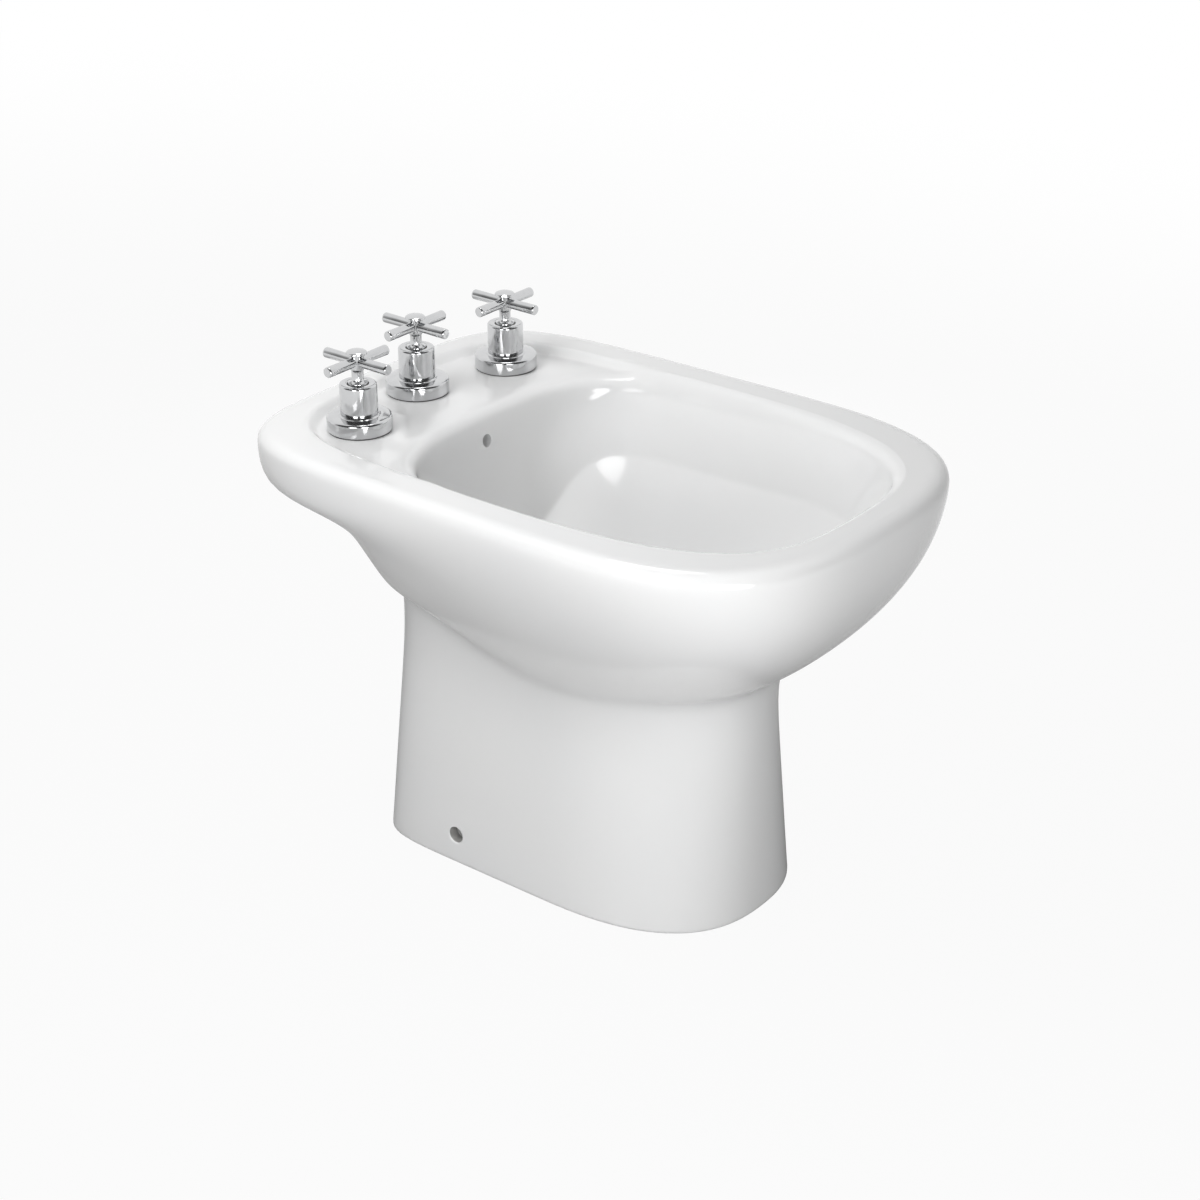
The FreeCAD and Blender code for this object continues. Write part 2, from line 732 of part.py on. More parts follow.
def tap(name, x, y, ports, stub_bore):
    """All pieces of one tap, on its hole in the deck."""
    place = (x, y, deck_level)
    node(ring_body(shank_hole, s.flange_radius - s.gasket_inset, 0, flange_low),
         name + "_deck_gasket", place)

    # Turned flange: upright side, bevel and crowned top, hollow below
    crown = s.flange_radius - s.flange_bevel
    inner = s.flange_radius - s.flange_wall
    side_high = flange_low + s.flange_side
    node(turned(
        [(barrel_radius + s.fit, flange_top), (s.sleeve_radius + s.flange_lip, flange_top),
         (s.sleeve_radius + s.flange_lip, flange_top - s.flange_lip / 2),
         (crown, side_high + s.flange_bevel), (s.flange_radius, side_high),
         (s.flange_radius, flange_low), (inner, flange_low), (inner, side_high - s.flange_wall),
         (barrel_radius + s.fit, flange_top - 2 * s.flange_wall)]), name + "_flange", place)

    # Sleeve screwed over the headwork, clamping the flange
    sleeve_hole = s.skirt_radius + s.skirt_play
    node(turned(
        [(sleeve_bore, flange_top), (s.sleeve_radius, flange_top),
         (s.sleeve_radius, sleeve_high - s.sleeve_round),
         (s.sleeve_radius - s.sleeve_round, sleeve_high), (sleeve_hole, sleeve_high),
         (sleeve_hole, sleeve_high - s.sleeve_top), (sleeve_bore, sleeve_high - s.sleeve_top)]),
         name + "_sleeve", place)

    node(valve_body(ports, stub_bore), name + "_valve_body", place)
    node(ring_body(shank_hole, shank_hole + s.washer_width, washer_low, -s.deck_thickness),
         name + "_back_washer", place)
    backnut = cut(prism(backnut_circle, s.backnut_height, z=backnut_low),
                  [cylinder(shank_hole, s.backnut_height + 2 * s.overrun, z=backnut_low - s.overrun)])
    node(backnut, name + "_backnut", place)

    # Headwork: cage with windows round the discs, shoulder, sleeve thread and gland
    thread_radius = sleeve_bore - s.fit
    cage = turned(
        [(cage_radius, seal_high), (s.cartridge_radius, seal_high), (s.cartridge_radius, barrel_high),
         (barrel_radius, barrel_high), (barrel_radius, shoulder_high), (thread_radius, shoulder_high),
         (thread_radius, thread_high), (s.gland_radius, thread_high), (s.gland_radius, gland_high),
         (spindle_hole, gland_high), (spindle_hole, cage_high), (cage_radius, cage_high)])
    reach = s.cartridge_radius + s.overrun
    windows = [cylinder(s.window_radius, 2 * reach, x=-reach, z=-port_drop, along="X"),
               cylinder(s.window_radius, 2 * reach, y=-reach, z=-port_drop, along="Y")]
    node(cut(cage, windows), name + "_headwork", place)
    node(ring_body(s.seal_bore, s.cartridge_radius, seat_level, seal_high), name + "_seat_seal", place)
    node(port_disc(seal_high), name + "_fixed_disc", place)
    node(port_disc(moving_low), name + "_moving_disc", place)
    node(turned(
        [(0, moving_high), (driver_radius, moving_high), (driver_radius, cage_high - s.fit),
         (s.spindle_radius, cage_high - s.fit), (s.spindle_radius, spindle_high), (0, spindle_high)],
        [(0, spindle_high - s.screw_grip), (s.screw_radius + s.fit, spindle_high - s.screw_grip),
         (s.screw_radius + s.fit, spindle_high + s.overrun), (0, spindle_high + s.overrun)]),
         name + "_spindle", place)

    # Cross handle: turned hub on a skirted neck, four arms, spindle socket, screw seat and cap seat
    hub = turned([(0, skirt_low), (s.skirt_radius, skirt_low), (s.skirt_radius, skirt_high),
                  (s.neck_radius, neck_low), (s.neck_radius, neck_high),
                  (hub_radius, hub_low), (hub_radius, hub_high), (0, hub_high)])
    arms = []
    for along in ("X", "Y"):
        start = {along.lower(): -s.arm_reach}
        arms.append(cylinder(s.arm_radius, 2 * s.arm_reach, z=arm_level, along=along, **start))
    cross = joined([hub] + arms)
    document.recompute()
    rounded = document.addObject("Part::Fillet", "rounded")
    rounded.Base = cross
    tips = [place_of + 1 for place_of, line in enumerate(cross.Shape.Edges)
            if max(abs(line.CenterOfMass.x), abs(line.CenterOfMass.y)) > s.arm_reach.value * TIP_SHARE
            and line.isClosed()]
    rounded.Edges = [(tip, s.arm_round.value, s.arm_round.value) for tip in tips]
    seats = [cylinder(spindle_hole, spindle_high - skirt_low + s.overrun, z=skirt_low - s.overrun),
             cylinder(s.screw_radius + s.fit, hub_high - skirt_low, z=skirt_low),
             cylinder(s.cap_plug_radius + s.fit, hub_high - arm_level + s.overrun, z=arm_level)]
    node(cut(rounded, seats), name + "_handle", place)
    node(turned(
        [(0, spindle_high - s.screw_grip + s.fit), (s.screw_radius, spindle_high - s.screw_grip + s.fit),
         (s.screw_radius, arm_level), (s.screw_head_radius, arm_level),
         (s.screw_head_radius, arm_level + s.screw_head_height), (0, arm_level + s.screw_head_height)]),
         name + "_handle_screw", place)
    dome = [(s.cap_radius * share, hub_high + s.cap_edge + (s.cap_height - s.cap_edge) * rise)
            for share, rise in CAP_SHARES]
    node(turned(
        [(0, plug_low), (s.cap_plug_radius, plug_low), (s.cap_plug_radius, hub_high),
         (s.cap_radius, hub_high)] + dome + [(0, hub_high + s.cap_height)]), name + "_handle_cap", place)


TIP_SHARE = 0.98
CAP_SHARES = ((1.0, 0.0), (0.92, 0.4), (0.75, 0.7), (0.5, 0.89), (0.25, 0.98))
tap("hot", -tap_spacing, tap_side_y, ["X"], s.stub_radius - s.stub_wall)
tap("cold", tap_spacing, tap_side_y, ["-X"], s.stub_radius - s.stub_wall)
tap("transfer", as_size(0), tap_middle_y, ["X", "-X", "-Y"], tube_bore)


# Tubes between the valves, to the bowl feed and to the spray

def tube(label, edges):
    """A bent tube: its round wall swept along straight runs and tangent arcs."""
    path = Part.Wire(edges)
    start = edges[0].valueAt(edges[0].FirstParameter)
    heading = edges[0].tangentAt(edges[0].FirstParameter)
    shapes = []
    for radius in (s.tube_radius.value, tube_bore.value):
        ring = Part.Wire([Part.makeCircle(radius, start, heading)])
        shapes.append(path.makePipeShell([ring], True, False))
    item = document.addObject("Part::Feature", label)
    item.Shape = shapes[0].cut(shapes[1])
    item.Label = label
    NODES.append(item)


def bend(centre, start, end):
    """An arc of less than half a turn about a centre, from one point to another."""
    middle = (start + end) * 0.5 - centre
    middle.normalize()
    return Part.Arc(start, centre + middle * start.distanceToPoint(centre), end).toShape()


def line(start, end):
    return Part.LineSegment(start, end).toShape()


def tube_nut(x, y, z, along):
    length = s.tube_nut_length
    tube_nut_circle = s.tube_radius + s.tube_nut_wall
    hole = {"x": x, "y": y, "z": z}
    hole[along.lower()] = hole[along.lower()] - s.overrun
    return cut(prism(tube_nut_circle, length, x, y, z, along),
               [cylinder(tube_hole, length + 2 * s.overrun, along=along, **hole)])


port_level = deck_level - port_drop
for name, sign in (("hot", -1), ("cold", 1)):
    outer_end = tap_spacing - s.port_reach
    inner_end = s.port_reach
    nuts = []
    for x, y in ((inner_end, tap_middle_y), (outer_end - s.tube_nut_length, tap_side_y)):
        if sign < 0:
            x = -x - s.tube_nut_length
        nuts.append(tube_nut(x, y, port_level, "X"))
    nut_pair = document.addObject("Part::Compound", "nuts")
    nut_pair.Links = nuts
    node(nut_pair, name + "_link_nuts", (0, 0, 0))
    first = (inner_end - s.tube_grip).value
    last = (outer_end + s.tube_grip).value
    bend_from = (inner_end + s.tube_nut_length + s.tube_straight).value
    bend_to = (outer_end - s.tube_nut_length - s.tube_straight).value
    shift = s.tap_setback.value
    angle = 2 * math.atan2(shift, bend_to - bend_from)
    radius = (bend_to - bend_from) / (2 * math.sin(angle))
    rear, front, level = tap_middle_y.value, tap_side_y.value, port_level.value
    places = [Vector(sign * x, y, level) for x, y in (
        (first, rear), (bend_from, rear), ((bend_from + bend_to) / 2, (rear + front) / 2),
        (bend_to, front), (last, front))]
    centres = [Vector(sign * bend_from, rear - radius, level), Vector(sign * bend_to, front + radius, level)]
    tube(name + "_link_tube", [
        line(places[0], places[1]), bend(centres[0], places[1], places[2]),
        bend(centres[1], places[2], places[3]), line(places[3], places[4])])

# Bowl feed: straight tube from the transfer valve through a grommet in the web
feed_start = tap_middle_y - s.port_reach + s.tube_grip
web_front = pocket_front - s.shell_wall
feed_end = web_front - s.feed_end_gap
tube("bowl_feed_tube", [line(Vector(0, feed_start.value, port_level.value),
                             Vector(0, feed_end.value, port_level.value))])
feed_nut = tube_nut(0, tap_middle_y - s.port_reach - s.tube_nut_length, port_level, "Y")
node(feed_nut, "bowl_feed_nut", (0, 0, 0))
grommet = turned(
    [(tube_hole, 0), (s.tube_radius + s.grommet_wall - s.fit, 0),
     (s.tube_radius + s.grommet_wall - s.fit, s.shell_wall),
     (s.tube_radius + s.grommet_wall + s.grommet_lip, s.shell_wall),
     (s.tube_radius + s.grommet_wall + s.grommet_lip, s.shell_wall + s.grommet_lip),
     (tube_hole, s.shell_wall + s.grommet_lip)])
grommet.Placement.Rotation = Rotation(Vector(1, 0, 0), -90)
node(grommet, "bowl_feed_grommet", (0, web_front, port_level))

# Spray: rose on the bowl floor, locknut below, tube round under the bowl
spray_at = (0, -s.spray_place, floor_place)
rose_base = s.gasket_thickness
spray_hole = spray_shank_radius + s.fit
node(ring_body(spray_hole, s.rose_radius - s.gasket_inset, 0, rose_base), "spray_gasket", spray_at)
rose_dome = [(s.rose_radius * share, rose_base + s.rose_edge + (s.rose_height - s.rose_edge) * rise)
             for share, rise in CAP_SHARES]
rose = turned(
    [(0, spray_low), (spray_shank_radius, spray_low), (spray_shank_radius, rose_base),
     (s.rose_radius, rose_base)] + rose_dome + [(0, rose_base + s.rose_height)],
    [(0, spray_low - s.overrun), (tube_hole, spray_low - s.overrun), (tube_hole, spray_low + s.tube_grip),
     (tube_bore, spray_low + s.tube_grip), (tube_bore, rose_base),
     (spray_shank_radius, rose_base + s.rose_edge), (0, rose_base + s.rose_edge)])
jets = [cylinder(s.rose_hole, s.rose_height, z=rose_base)]
for step in range(6):
    jet = cylinder(s.rose_hole, s.rose_height, z=rose_base)
    turn = math.radians(60 * step)
    jets.append(move(jet, s.rose_hole_circle * round(math.cos(turn), 6),
                     s.rose_hole_circle * round(math.sin(turn), 6), rose_base))
node(cut(rose, jets), "spray_rose", spray_at)
nut_high = -s.floor_thickness
spray_nut_low = nut_high - s.spray_nut_height
spray_nut = cut(prism(spray_shank_radius + s.spray_nut_wall, s.spray_nut_height, z=spray_nut_low),
                [cylinder(spray_hole, s.spray_nut_height + 2 * s.overrun, z=spray_nut_low - s.overrun)])
node(spray_nut, "spray_locknut", spray_at)
upper_nut = tube_nut(0, tap_middle_y, deck_level + stub_low - s.tube_nut_length, "Z")
lower_nut = tube_nut(0, -s.spray_place, floor_place + spray_low - s.tube_nut_length, "Z")
spray_nuts = document.addObject("Part::Compound", "nuts")
spray_nuts.Links = [upper_nut, lower_nut]
node(spray_nuts, "spray_tube_nuts", (0, 0, 0))
radius = s.spray_bend.value
run = spray_run.value
rear = tap_middle_y.value
front = -s.spray_place.value
turns = [Vector(0, rear, (deck_level + stub_low + s.tube_grip).value), Vector(0, rear, run + radius),
         Vector(0, rear - radius, run), Vector(0, front + radius, run), Vector(0, front, run + radius),
         Vector(0, front, (floor_place + spray_low + s.tube_grip).value)]
tube("spray_tube", [
    line(turns[0], turns[1]), bend(Vector(0, rear - radius, run + radius), turns[1], turns[2]),
    line(turns[2], turns[3]), bend(Vector(0, front + radius, run + radius), turns[3], turns[4]),
    line(turns[4], turns[5])])

# Waste: flanged body with a grid, rubber gasket, locknut and tailpiece
waste_at = (0, -s.waste_place, floor_place)
waste_bore = s.waste_radius - s.waste_wall
gasket_low = nut_high - s.waste_gasket_thickness
waste_hole = s.waste_radius + s.fit
waste_nut_low = gasket_low - s.waste_nut_height
waste_low = waste_nut_low - s.waste_tail
tail_radius = waste_bore - s.fit - s.tail_step
grid_high = -s.waste_grid_drop
grid_low = grid_high - s.waste_grid_thickness
waste = turned(
    [(0, grid_high), (waste_bore, grid_high), (waste_bore + s.waste_flange_height, s.waste_flange_height),
     (waste_flange_radius - s.waste_flange_height, s.waste_flange_height), (waste_flange_radius, 0),
     (s.waste_radius, 0), (s.waste_radius, waste_low), (waste_bore, waste_low), (waste_bore, grid_low),
     (0, grid_low)])
slots = [cylinder(s.waste_grid_hole, s.waste_grid_thickness + 2 * s.overrun, z=grid_low - s.overrun)]
for step in range(6):
    turn = math.radians(60 * step)
    slot = cylinder(s.waste_grid_hole, s.waste_grid_thickness + 2 * s.overrun)
    slots.append(move(slot, s.waste_grid_circle * round(math.cos(turn), 6),
                      s.waste_grid_circle * round(math.sin(turn), 6), grid_low - s.overrun))
node(cut(waste, slots), "waste_body", waste_at)
node(ring_body(waste_hole, s.waste_radius + s.waste_gasket_width, gasket_low, nut_high),
     "waste_gasket", waste_at)
waste_nut = cut(prism(s.waste_radius + s.waste_nut_wall, s.waste_nut_height, z=waste_nut_low),
                [cylinder(waste_hole, s.waste_nut_height + 2 * s.overrun, z=waste_nut_low - s.overrun)])
node(waste_nut, "waste_locknut", waste_at)
tail_high = waste_low + s.tail_grip
tail_low = waste_low - s.tail_length
node(turned(
    [(tail_radius - s.tail_wall, tail_low), (tail_radius, tail_low), (tail_radius, waste_low),
     (waste_bore - s.fit, waste_low), (waste_bore - s.fit, tail_high),
     (tail_radius - s.tail_wall, tail_high)]), "waste_tailpiece", waste_at)


# Check and write every piece

document.recompute()
for item in document.Objects:
    if "Invalid" in item.State or "Error" in item.State:
        raise RuntimeError("%s is %s" % (item.Label, item.State))
os.makedirs("parts", exist_ok=True)
for item in NODES:
    if item.Shape.isNull() or not item.Shape.isValid():
        raise RuntimeError("%s has no sound shape" % item.Label)
    item.Shape.exportStep("parts/%s.step" % item.Label)
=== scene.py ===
import json
import math

import bmesh
import bpy
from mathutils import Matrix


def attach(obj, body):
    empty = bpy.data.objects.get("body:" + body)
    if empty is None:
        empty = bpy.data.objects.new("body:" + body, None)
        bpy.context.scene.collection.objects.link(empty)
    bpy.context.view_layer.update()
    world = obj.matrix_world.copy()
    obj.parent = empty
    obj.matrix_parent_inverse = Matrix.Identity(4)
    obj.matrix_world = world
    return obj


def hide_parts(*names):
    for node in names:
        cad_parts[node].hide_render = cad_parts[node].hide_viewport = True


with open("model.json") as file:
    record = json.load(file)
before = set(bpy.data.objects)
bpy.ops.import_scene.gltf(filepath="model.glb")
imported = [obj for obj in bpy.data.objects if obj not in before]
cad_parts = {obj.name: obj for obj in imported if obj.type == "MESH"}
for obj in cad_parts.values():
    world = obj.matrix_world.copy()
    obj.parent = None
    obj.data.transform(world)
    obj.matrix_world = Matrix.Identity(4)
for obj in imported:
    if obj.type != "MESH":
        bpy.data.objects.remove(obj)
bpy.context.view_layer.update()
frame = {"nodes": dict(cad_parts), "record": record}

# China body. Pedestal, bowl, rim and tap deck are slip-cast hollow in one piece of
# vitreous china, sponged round at every edge, dipped in white glaze and fired.
# Taps, spray and waste are bolted through the holes that are left in it.
MM = 0.001
TOUCH = 1e-6
MIDDLE_Y = -40.0
STATIONS = 64
HALVINGS = 40
RIM_TOP = 378.0
FARTHEST = 2 * RIM_TOP
RIM_ROUND = 11.0
SHOULDER_LEVEL = RIM_TOP - RIM_ROUND
DECK_LEVEL = 371.0
DECK_UNDERSIDE = 358.0
MOUTH_LEVEL = 365.0
FLOOR_LEVEL = 242.0
FLOOR_THICKNESS = 12.0
WALL = 10.0
WEB_REAR = 155.0


def eased(share):
    """A share held between nought and one, with a soft start and end."""
    share = min(max(share, 0.0), 1.0)
    return share * share * (3 - 2 * share)


class Outline:
    """A closed outline of the china in millimetres, with levels at its front, sides and rear."""

    def __init__(self, width, front, rear, widest, powers, levels):
        self.width = width
        self.front = front
        self.rear = rear
        self.widest = widest
        self.powers = powers
        self.levels = levels

    def toward(self, other, share):
        """An outline part of the way from this one to another."""
        def mix(start, end):
            return start + (end - start) * share

        return Outline(mix(self.width, other.width), mix(self.front, other.front),
                       mix(self.rear, other.rear), mix(self.widest, other.widest),
                       [mix(*pair) for pair in zip(self.powers, other.powers)],
                       [mix(*pair) for pair in zip(self.levels, other.levels)])

    def grown(self, growth, lift=0.0):
        return Outline(self.width + growth, self.front - growth, self.rear + growth, self.widest,
                       self.powers, [level + lift for level in self.levels])

    def at(self, level):
        return Outline(self.width, self.front, self.rear, self.widest, self.powers, (level,) * 3)

    def holds(self, x, y):
        rear = y > self.widest
        end = self.rear if rear else self.front
        power = self.powers[1] if rear else self.powers[0]
        along = abs(y - self.widest) / abs(end - self.widest)
        return (abs(x) / self.width) ** power + along ** power < 1

    def reach(self, angle):
        """Distance from the middle of the bowl to the outline, at an angle from the rear."""
        near, far = 0.0, FARTHEST
        for halving in range(HALVINGS):
            half = (near + far) / 2
            if self.holds(half * math.sin(angle), MIDDLE_Y + half * math.cos(angle)):
                near = half
            else:
                far = half
        return near

    def place(self, angle):
        far = self.reach(angle)
        return far * math.sin(angle), MIDDLE_Y + far * math.cos(angle)

    def level(self, x, y, dip):
        """Level at a place; a dip above zero keeps the rear level to the middle of the rear."""
        rear = y > self.widest
        end = self.rear if rear else self.front
        weight = eased((y - self.widest) / (end - self.widest))
        if rear and dip:
            weight = max(1 - (x / self.width) ** 2, 0.0) ** dip
        side = self.levels[1]
        return side + ((self.levels[2] if rear else self.levels[0]) - side) * weight

    def ring(self, dip=0, scale=1.0):
        """The outline's places at every station, in metres."""
        places = []
        for angle in ANGLES:
            x, y = self.place(angle)
            level = self.level(x, y, dip)
            x, y = x * scale, MIDDLE_Y + (y - MIDDLE_Y) * scale
            places.append((x * MM, y * MM, level * MM))
        return places


foot = Outline(106.5, -163.8, 176.0, -12.4, (2.55, 10.3), (0.0, 0.0, 0.0))
waist = Outline(93.8, -154.2, 159.0, -12.4, (2.08, 9.3), (206.0, 187.0, 227.0))
rim = Outline(187.0, -266.0, 266.0, -44.0, (3.14, 5.73), (SHOULDER_LEVEL,) * 3)
mouth = Outline(143.5, -229.0, 130.5, 15.5, (3.3, 2.8), (MOUTH_LEVEL,) * 3)
crease = Outline(113.0, -199.0, 93.0, -18.0, (3.8, 4.6), (320.0, 314.5, 262.0))
basin = Outline(38.0, -120.0, 14.0, -53.0, (2.2, 2.2), (FLOOR_LEVEL,) * 3)
recess = Outline(146.5, -221.0, 237.0, 60.0, (3.2, 4.2), (RIM_TOP,) * 3)

# Stations stand at equal steps along the rim, so that all rings have corners in the same places
SAMPLES = 1440
HALF_ROUND = STATIONS // 2
sample_angles = [math.pi * step / SAMPLES for step in range(SAMPLES + 1)]
walk = [rim.place(angle) for angle in sample_angles]
runs = [0.0]
for here, there in zip(walk, walk[1:]):
    runs.append(runs[-1] + math.dist(here, there))
half_angles = []
for step in range(HALF_ROUND + 1):
    wanted = runs[-1] * step / HALF_ROUND
    nearest = min(range(SAMPLES + 1), key=lambda sample: abs(runs[sample] - wanted))
    half_angles.append(sample_angles[nearest])
ANGLES = half_angles + [2 * math.pi - angle for angle in half_angles[-2:0:-1]]

# Inside of the bowl, from the middle of its floor up the basin and the steep wall
TROUGH = 2.4
BASIN_SHARES = (0.3, 0.65, 0.9)
SLOPE_SHARES = ((0.88, 0.88), (0.62, 0.65), (0.3, 0.34), (0.06, 0.08))
WALL_SHARES = ((1.0, 1.0, 1.0), (0.94, 0.94, 0.92), (0.78, 0.78, 0.7), (0.5, 0.48, 0.3),
               (0.25, 0.22, 0.06))


def slope(drop, inset):
    """The bowl between the ledge at the foot of its wall and its basin."""
    outline = crease.toward(basin, inset)
    outline.levels = [high + (low - high) * drop
                      for high, low in zip(crease.levels, basin.levels)]
    return outline


def bowl_wall(drop, inset, rear):
    """The steep wall of the bowl between its mouth and the ledge at its foot."""
    outline = mouth.toward(crease, inset)
    outline.rear = mouth.rear + (crease.rear - mouth.rear) * rear
    outline.levels = [high + (low - high) * drop
                      for high, low in zip(mouth.levels, crease.levels)]
    return outline


rings = [basin.ring(scale=share) for share in BASIN_SHARES]
rings.append(basin.ring())
rings += [slope(*shares).ring(TROUGH) for shares in SLOPE_SHARES]
rings += [bowl_wall(*shares).ring(TROUGH) for shares in WALL_SHARES]

# Rounded lip of the bowl, the sunk tap deck behind it, its soft step and the flat of the rim
LIP_ROUND = 12.0
LIP_OFFSETS = (0.0, 0.7, 2.6, 6.0, 11.0)
DECK_SHARES = (0.3, 0.7)
STEP_REACH = 5.0
STEP_OFFSETS = (-6.5, -3.5, 0.0, 3.5, 6.5)
STEP_SEAT = 20.0
STEP_BLEND = 8.0
BAND = 36.0


def top_level(far, lip, step):
    """Level of the top at a distance from the middle, with the deck's step and the bowl's lip."""
    share = eased((far - step + STEP_REACH) / (2 * STEP_REACH))
    inward = LIP_ROUND - min(max(far - lip, 0.0), LIP_ROUND)
    fall = LIP_ROUND - math.sqrt(LIP_ROUND ** 2 - inward ** 2)
    return DECK_LEVEL + (RIM_TOP - DECK_LEVEL) * share - fall


flat_edge = rim.grown(-RIM_ROUND)
spokes = []
for angle in ANGLES:
    lip, step, edge = mouth.reach(angle), recess.reach(angle), flat_edge.reach(angle)
    squeeze = min(1.0, (edge - lip) / BAND)
    gap = step - lip - STEP_SEAT * squeeze
    seat = lip + STEP_SEAT * squeeze + (gap + math.hypot(gap, STEP_BLEND)) / 2
    deck_from = lip + LIP_OFFSETS[-1] * squeeze
    deck_to = seat + STEP_OFFSETS[0] * squeeze
    stops = [lip + offset * squeeze for offset in LIP_OFFSETS]
    stops += [deck_from + (deck_to - deck_from) * share for share in DECK_SHARES]
    stops += [seat + offset * squeeze for offset in STEP_OFFSETS]
    stops.append((stops[-1] + edge) / 2)
    spoke = []
    for far in stops:
        x, y = far * math.sin(angle), MIDDLE_Y + far * math.cos(angle)
        spoke.append((x * MM, y * MM, top_level(far, lip, step) * MM))
    spokes.append(spoke)
rings += [list(ring) for ring in zip(*spokes)]

# Round of the rim, then the outside of the bowl and the pedestal down to the floor
RIM_TURNS = (90, 66, 44, 22, 0)
FRONT_BULGE = 2.24
SIDE_BULGE = 1.6
SIDE_SOFTNESS = 0.05
DOME_SHARES = (0.06, 0.115, 0.18, 0.27, 0.38, 0.5, 0.62, 0.74, 0.86, 0.95)
REAR_RISE_SHARES = (0.04, 0.09, 0.135, 0.19, 0.33, 0.475, 0.61, 0.69, 0.735, 0.77)
REAR_REACH_SHARES = (0.0, 0.004, 0.012, 0.026, 0.062, 0.1, 0.155, 0.295, 0.64, 0.985)
PEDESTAL_SHARES = (0.0, 0.04, 0.25, 0.48, 0.68, 0.84)
NECK_FRONT_SHARES = (0.02, 0.08, 0.16)
NECK_LOW_SHARE = 0.89
FOOT_EDGE = ((0.0, 3.0), (0.5, 0.7), (2.0, 0.0), (8.0, 0.0), (9.5, 0.7), (WALL, 3.0))
for degrees in RIM_TURNS:
    turn = math.radians(degrees)
    inset, lift = RIM_ROUND * (1 - math.cos(turn)), RIM_ROUND * math.sin(turn)
    rings.append(rim.grown(-inset, lift).ring())


def dome(share, rise, reach):
    """The outside of the bowl at a share of the height from the waist to the rim."""
    outline = waist.toward(rim, 1 - (1 - share) ** FRONT_BULGE)
    softened = share * (1 + SIDE_SOFTNESS) / (share + SIDE_SOFTNESS)
    spread = (1 - (1 - share) ** SIDE_BULGE) * softened
    outline.width = waist.width + (rim.width - waist.width) * spread
    outline.rear = waist.rear + (rim.rear - waist.rear) * reach
    outline.levels = [low + (SHOULDER_LEVEL - low) * part
                      for low, part in zip(waist.levels, (share, share, rise))]
    return outline


# The neck is crisp in front and soft at the sides, so the rings near it get fronts of their own
domes = [dome(*shares) for shares in zip(DOME_SHARES, REAR_RISE_SHARES, REAR_REACH_SHARES)]
pedestal = [foot.toward(waist, share) for share in PEDESTAL_SHARES]
fronts = [dome(share, share, share) for share in NECK_FRONT_SHARES]
crisp = list(zip(domes, fronts)) + [(pedestal[-1], foot.toward(waist, NECK_LOW_SHARE))]
for outline, front in crisp:
    outline.front = front.front
    outline.levels[0] = front.levels[0]
rings += [outline.ring() for outline in domes[::-1]]
rings += [outline.ring() for outline in pedestal[:0:-1]]
rings += [foot.grown(-inset).at(level).ring() for inset, level in FOOT_EDGE]

# Hollow inside: up the back of the pedestal wall, under the rim and down the back of the bowl
SHELL_RISE = 7.0
LID_ROUND = 4.0
LID_SLANT = 1.0
LIP_BACKING = 3.0
for outline in pedestal[2:] + domes[:-2]:
    inner = outline.grown(-WALL, SHELL_RISE)
    inner.rear = min(inner.rear, WEB_REAR)
    rings.append(inner.ring())
lid = rim.grown(-WALL - SHELL_RISE / 2).at(DECK_UNDERSIDE)
lid.rear = WEB_REAR
rings.append(lid.grown(-LID_SLANT).at(DECK_UNDERSIDE - LID_ROUND).ring())
rings.append(lid.grown(-LID_ROUND).ring())
rings.append(mouth.grown(WALL + LIP_BACKING).at(DECK_UNDERSIDE).ring())
backs = [bowl_wall(*shares) for shares in WALL_SHARES[::-1]]
backs += [slope(*shares) for shares in SLOPE_SHARES[-2::-1] + ((1.0, 1.0),)]
rings += [outline.grown(WALL, -FLOOR_THICKNESS).ring(TROUGH) for outline in backs]
under = basin.grown(WALL, -FLOOR_THICKNESS)
rings += [under.ring(scale=share) for share in BASIN_SHARES[::-1]]


def pick(piece):
    """Select one piece alone."""
    bpy.ops.object.select_all(action="DESELECT")
    bpy.context.view_layer.objects.active = piece
    piece.select_set(True)


def extruded(name, rings):
    """A shell pulled ring by ring out of a circle, open at both ends."""
    bpy.ops.object.select_all(action="DESELECT")
    bpy.ops.mesh.primitive_circle_add(vertices=len(rings[0]), radius=1.0)
    piece = bpy.context.object
    piece.name = name
    piece.data.name = name
    bpy.ops.object.mode_set(mode="EDIT")
    shell = bmesh.from_edit_mesh(piece.data)
    station = shell.verts.layers.int.new("station")
    for count, corner in enumerate(shell.verts):
        corner[station] = count
        corner.co = rings[0][count]
    bmesh.update_edit_mesh(piece.data)
    for ring in rings[1:]:
        bpy.ops.mesh.extrude_edges_indiv()
        shell = bmesh.from_edit_mesh(piece.data)
        station = shell.verts.layers.int["station"]
        for corner in shell.verts:
            if corner.select:
                corner.co = ring[corner[station]]
        bmesh.update_edit_mesh(piece.data)
    bpy.ops.object.mode_set(mode="OBJECT")
    return piece


def close_end(piece, ring, pole):
    """Fill one end of a shell, to a point in its middle or with one flat face."""
    bpy.ops.object.mode_set(mode="EDIT")
    bpy.ops.mesh.select_all(action="DESELECT")
    shell = bmesh.from_edit_mesh(piece.data)
    station = shell.verts.layers.int["station"]
    for corner in shell.verts:
        if corner.is_boundary and math.dist(corner.co, ring[corner[station]]) < TOUCH:
            corner.select = True
    shell.select_flush_mode()
    bmesh.update_edit_mesh(piece.data)
    if pole:
        bpy.ops.mesh.extrude_edges_indiv()
        bpy.ops.mesh.merge(type="CENTER")
    else:
        bpy.ops.mesh.edge_face_add()
    bpy.ops.object.mode_set(mode="OBJECT")


